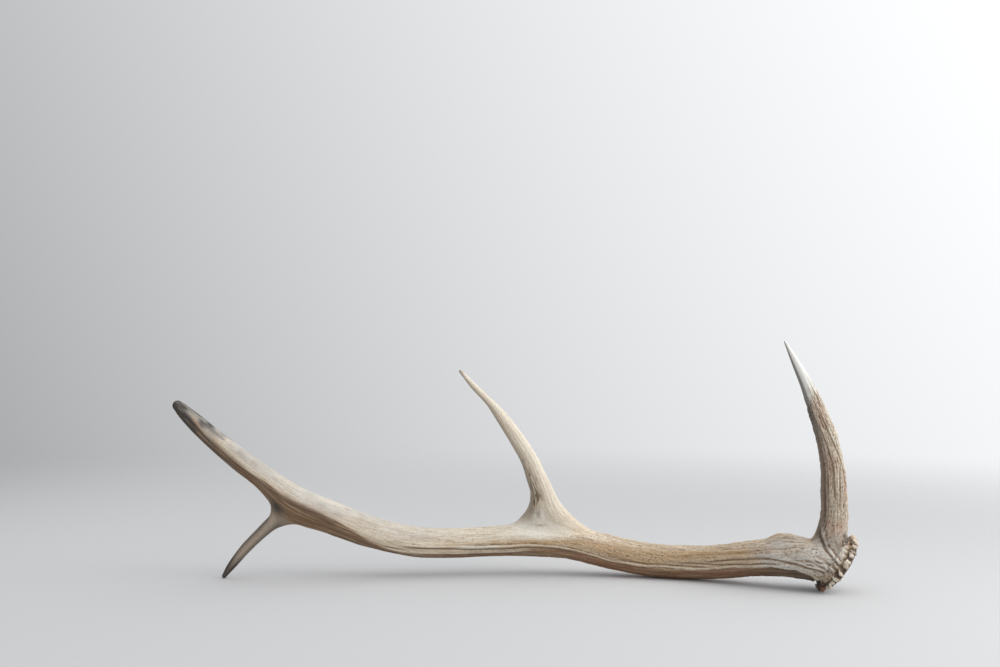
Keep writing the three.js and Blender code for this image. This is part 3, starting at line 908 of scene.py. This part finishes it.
def newPaint(name):
    # a material, its node tree and its shader
    paint = bpy.data.materials.new(name)
    paint.use_nodes = True
    return paint, paint.node_tree, paint.node_tree.nodes["Principled BSDF"]


def spread(tree, value, low, high, first=0.0, last=1.0):
    # a value stretched so that low becomes the first number and high the last
    node = addNode(tree, "ShaderNodeMapRange", {"Value": value, "From Min": low, "From Max": high,
                                                "To Min": first, "To Max": last})
    return node.outputs["Result"]


antlerInks = {
    # under is the underside's brown, made darker than the stain as painted shade; pit and crevice carry
    # painted shade in hollows; dark carries dark tips and painted shade; fleck carries light specks and a
    # painted highlight on ridges
    "tan": ink(186, 164, 137), "cream": ink(215, 205, 186), "ochre": ink(172, 140, 94),
    "under": ink(110, 80, 52), "red": ink(158, 104, 82), "grey": ink(183, 180, 174),
    "pale": ink(224, 220, 210), "pit": ink(110, 86, 61), "dark": ink(62, 55, 47),
    "ivory": ink(212, 210, 204), "bead": ink(222, 216, 202), "crevice": ink(62, 49, 37),
    "mottle": ink(150, 124, 94), "fleck": ink(228, 219, 200),
}
antlerLook = {
    "mottling": 0.55,
    # how strongly the painted shade in pits, and the dark veins, are laid on
    "pitShadeAndVeins": 0.9,
    "roughness": 0.56,
    "polish": 0.2,          # how much smoother the ivory end is
    "bump": 0.7,
    "bumpDepth": 0.001,     # metres
}


def antlerFinish(name, inks, look):
    # grown antler: tan and cream in long streaks, mottled brown, dark lines and specks with painted shade in
    # its grooves and pits and a painted highlight on its ridges, and stained by masks, one ink over the
    # other
    paint, tree, shader = newPaint(name)
    plus, times, larger = [partial(sums, tree, way) for way in ("ADD", "MULTIPLY", "MAXIMUM")]
    noise, fit, maskOf = partial(stretched, tree), partial(spread, tree), partial(mask, tree)
    place = addNode(tree, "ShaderNodeTexCoord").outputs["Object"]
    streak, lane = noise(2.2, 34), noise(1.7, 24, 3, 11.3)
    thread, dapple, dash = noise(0.9, 13, 3, 7.3), noise(1.5, 3.4, 3, 5.7), noise(1.0, 5, 2, 3.1)
    blotch, speck = [addNode(tree, "ShaderNodeTexNoise", {"Vector": place, "Scale": scale, "Detail": 3.0})
                     .outputs["Fac"] for scale in (38.0, 620.0)]
    lay = plus(maskOf("cream"), times(plus(streak, -0.5), 1.7))
    lay = plus(lay, times(plus(blotch, -0.5), 0.7), True)
    sand = times(fit(dapple, 0.54, 0.36), maskOf("sandy"))
    mottle = times(larger(sand, fit(lane, 0.49, 0.33)), maskOf("veined"))
    light = times(fit(speck, 0.54, 0.68), maskOf("veined"))
    dashes = times(fit(dash, 0.4, 0.3), maskOf("sandy"))
    marks = larger(fit(thread, 0.41, 0.28), dashes)
    veins = times(larger(marks, times(fit(speck, 0.44, 0.33), maskOf("speckled"))), maskOf("veined"))
    grooves = larger(times(maskOf("pit"), look["pitShadeAndVeins"]), maskOf("lines"))
    layers = [
        (lay, "cream"),
        (times(maskOf("ochre"), fit(dapple, 0.38, 0.58)), "ochre"),
        (times(maskOf("under"), fit(streak, 0.25, 0.5)), "under"),
        (times(maskOf("red"), fit(thread, 0.32, 0.56)), "red"),
        (times(maskOf("grey"), 0.9), "grey"),
        (times(maskOf("pale"), 0.75), "pale"),
        (times(mottle, look["mottling"]), "mottle"),
        # light specks, and a painted highlight on the raised ridges
        (plus(times(light, 0.3), times(maskOf("ridge"), 0.35)), "fleck", "SOFT_LIGHT"),
        # painted shade in pits and grooves, with the dark lines and veins
        (plus(grooves, times(veins, 0.5 * look["pitShadeAndVeins"]), True), "pit"),
    ] + [(maskOf(key), key) for key in ("ivory", "dark", "bead", "crevice")]
    colour = inks["tan"]
    for amount, key, *blend in layers:
        colour = mixInk(tree, amount, colour, inks[key], *blend)
    rough = plus(times(maskOf("ivory"), -look["polish"]), times(speck, 0.2))
    high = plus(plus(times(thread, 0.6), times(speck, 0.3)), times(dapple, 0.8))
    bump = addNode(tree, "ShaderNodeBump", {"Height": times(high, maskOf("veined")),
                                            "Strength": look["bump"], "Distance": look["bumpDepth"]})
    tree.links.new(colour, shader.inputs["Base Color"])
    tree.links.new(plus(rough, look["roughness"]), shader.inputs["Roughness"])
    tree.links.new(bump.outputs[0], shader.inputs["Normal"])
    return paint


facingFront = smooth(-0.2, 0.5, -smoothNormals[:, 1])
values = stainsAndShade()
# mm along the branch and round a circle of its usual thickness; each tine starts 300 mm further on
onTine = share > 0.5
alongHere, turnHere = np.where(onTine, along + 300 * kind, beamAlong), np.where(onTine, around, beamAround)
girthHere = np.where(onTine, 12, 17)
fibre = np.column_stack([alongHere, girthHere * np.cos(turnHere), girthHere * np.sin(turnHere)])
nodeNames = ("lower_beam", "brow_tine", "trez_tine", "upper_beam", "top_tine", "back_tine")
pieces = {name: makePiece(name, values, fibre) for name in nodeNames}
for name, piece in pieces.items():
    piece.data.materials.append(antlerFinish(name.replace("_", " ") + " antler", antlerInks, antlerLook))
print("pieces made:", ", ".join(pieces))

studio = {
    "cameraAway": 1500.0,    # mm from the stations' origin, level
    "cameraHeight": 267.0,
    "lens": 50.0,
    "sensor": 36.0,
    "floorHalf": 8.0,        # metres
    "floorTone": 0.5,
    "clear": [0.5, 1.9],     # the floor fades into the surroundings between these distances
    "lightFrom": (0.72, -0.3, 0.63),
    "lightAway": 1.4,                 # metres
    "lightSize": 1.0,
    "lightPower": 8.5,                # watts
    "glowFrom": (0.83, 0.3, 0.45),    # where the soft surroundings are brightest
    "glow": [0.36, 1.37],             # their brightness on the far side and there
    "glowEnd": -0.11,                 # the cosine at which it is down to the first
    "fillFrom": (0.1, -0.6, 0.79),    # a second soft light, high in front
    "fill": 0.55,
}


def paleFloor():
    # a plain square that thins out with distance, so that it meets the pale surroundings unseen
    half = studio["floorHalf"]
    mesh = bpy.data.meshes.new("floor")
    corners = [(-half, -half, 0), (half, -half, 0), (half, half, 0), (-half, half, 0)]
    mesh.from_pydata(corners, [], [range(4)])
    floor = putInScene("floor", mesh)
    paint, tree, shader = newPaint("pale floor")
    shader.inputs["Base Color"].default_value = (*[studio["floorTone"]] * 3, 1)
    shader.inputs["Roughness"].default_value = 0.9
    place = addNode(tree, "ShaderNodeTexCoord").outputs["Object"]
    away = addNode(tree, "ShaderNodeVectorMath", {0: place}, operation="LENGTH").outputs["Value"]
    thin = addNode(tree, "ShaderNodeMapRange", {"Value": away, "From Min": studio["clear"][0],
                                                "From Max": studio["clear"][1]},
                   interpolation_type="SMOOTHSTEP").outputs["Result"]
    clear = addNode(tree, "ShaderNodeBsdfTransparent").outputs[0]
    mixed = addNode(tree, "ShaderNodeMixShader", {0: thin, 1: shader.outputs[0], 2: clear})
    tree.links.new(mixed.outputs[0], tree.nodes["Material Output"].inputs["Surface"])
    mesh.materials.append(paint)


def studioSky():
    # soft light from all round, brighter towards two sides: each in step with the cosine of the
    # angle between the direction and that side's own
    world = bpy.data.worlds.new("studio")
    bpy.context.scene.world = world
    world.use_nodes = True
    tree = world.node_tree
    way = addNode(tree, "ShaderNodeTexCoord").outputs["Generated"]
    towards = [addNode(tree, "ShaderNodeVectorMath", {0: way, 1: studio[key]},
                       operation="DOT_PRODUCT").outputs["Value"] for key in ("glowFrom", "fillFrom")]
    glow = spread(tree, towards[0], studio["glowEnd"], 1, *studio["glow"])
    fill = spread(tree, towards[1], 0, 1, 0, studio["fill"])
    background = tree.nodes["Background"]
    background.inputs["Color"].default_value = (0.97, 0.98, 1, 1)
    tree.links.new(sums(tree, "ADD", glow, fill), background.inputs["Strength"])


def windowLight():
    # a square lamp, out along its direction and facing the origin
    lamp = putInScene("window light", bpy.data.lights.new("window light", "AREA"))
    lamp.data.energy = studio["lightPower"]
    lamp.data.size = studio["lightSize"]
    lamp.location = [studio["lightAway"] * part for part in studio["lightFrom"]]
    lamp.rotation_mode = "QUATERNION"
    lamp.rotation_quaternion = (-lamp.location).to_track_quat("-Z", "Y")


paleFloor()
studioSky()
windowLight()

camera = putInScene("camera", bpy.data.cameras.new("camera"))
camera.data.lens = studio["lens"]
camera.data.sensor_width = studio["sensor"]
stand = np.array([0, -studio["cameraAway"], studio["cameraHeight"]]) - boxMiddle
camera.location = (stand / 1000).tolist()
camera.rotation_euler = (math.pi / 2, 0, 0)
bpy.context.scene.camera = camera
bpy.context.scene.view_settings.view_transform = "Standard"
print("stage and camera placed")
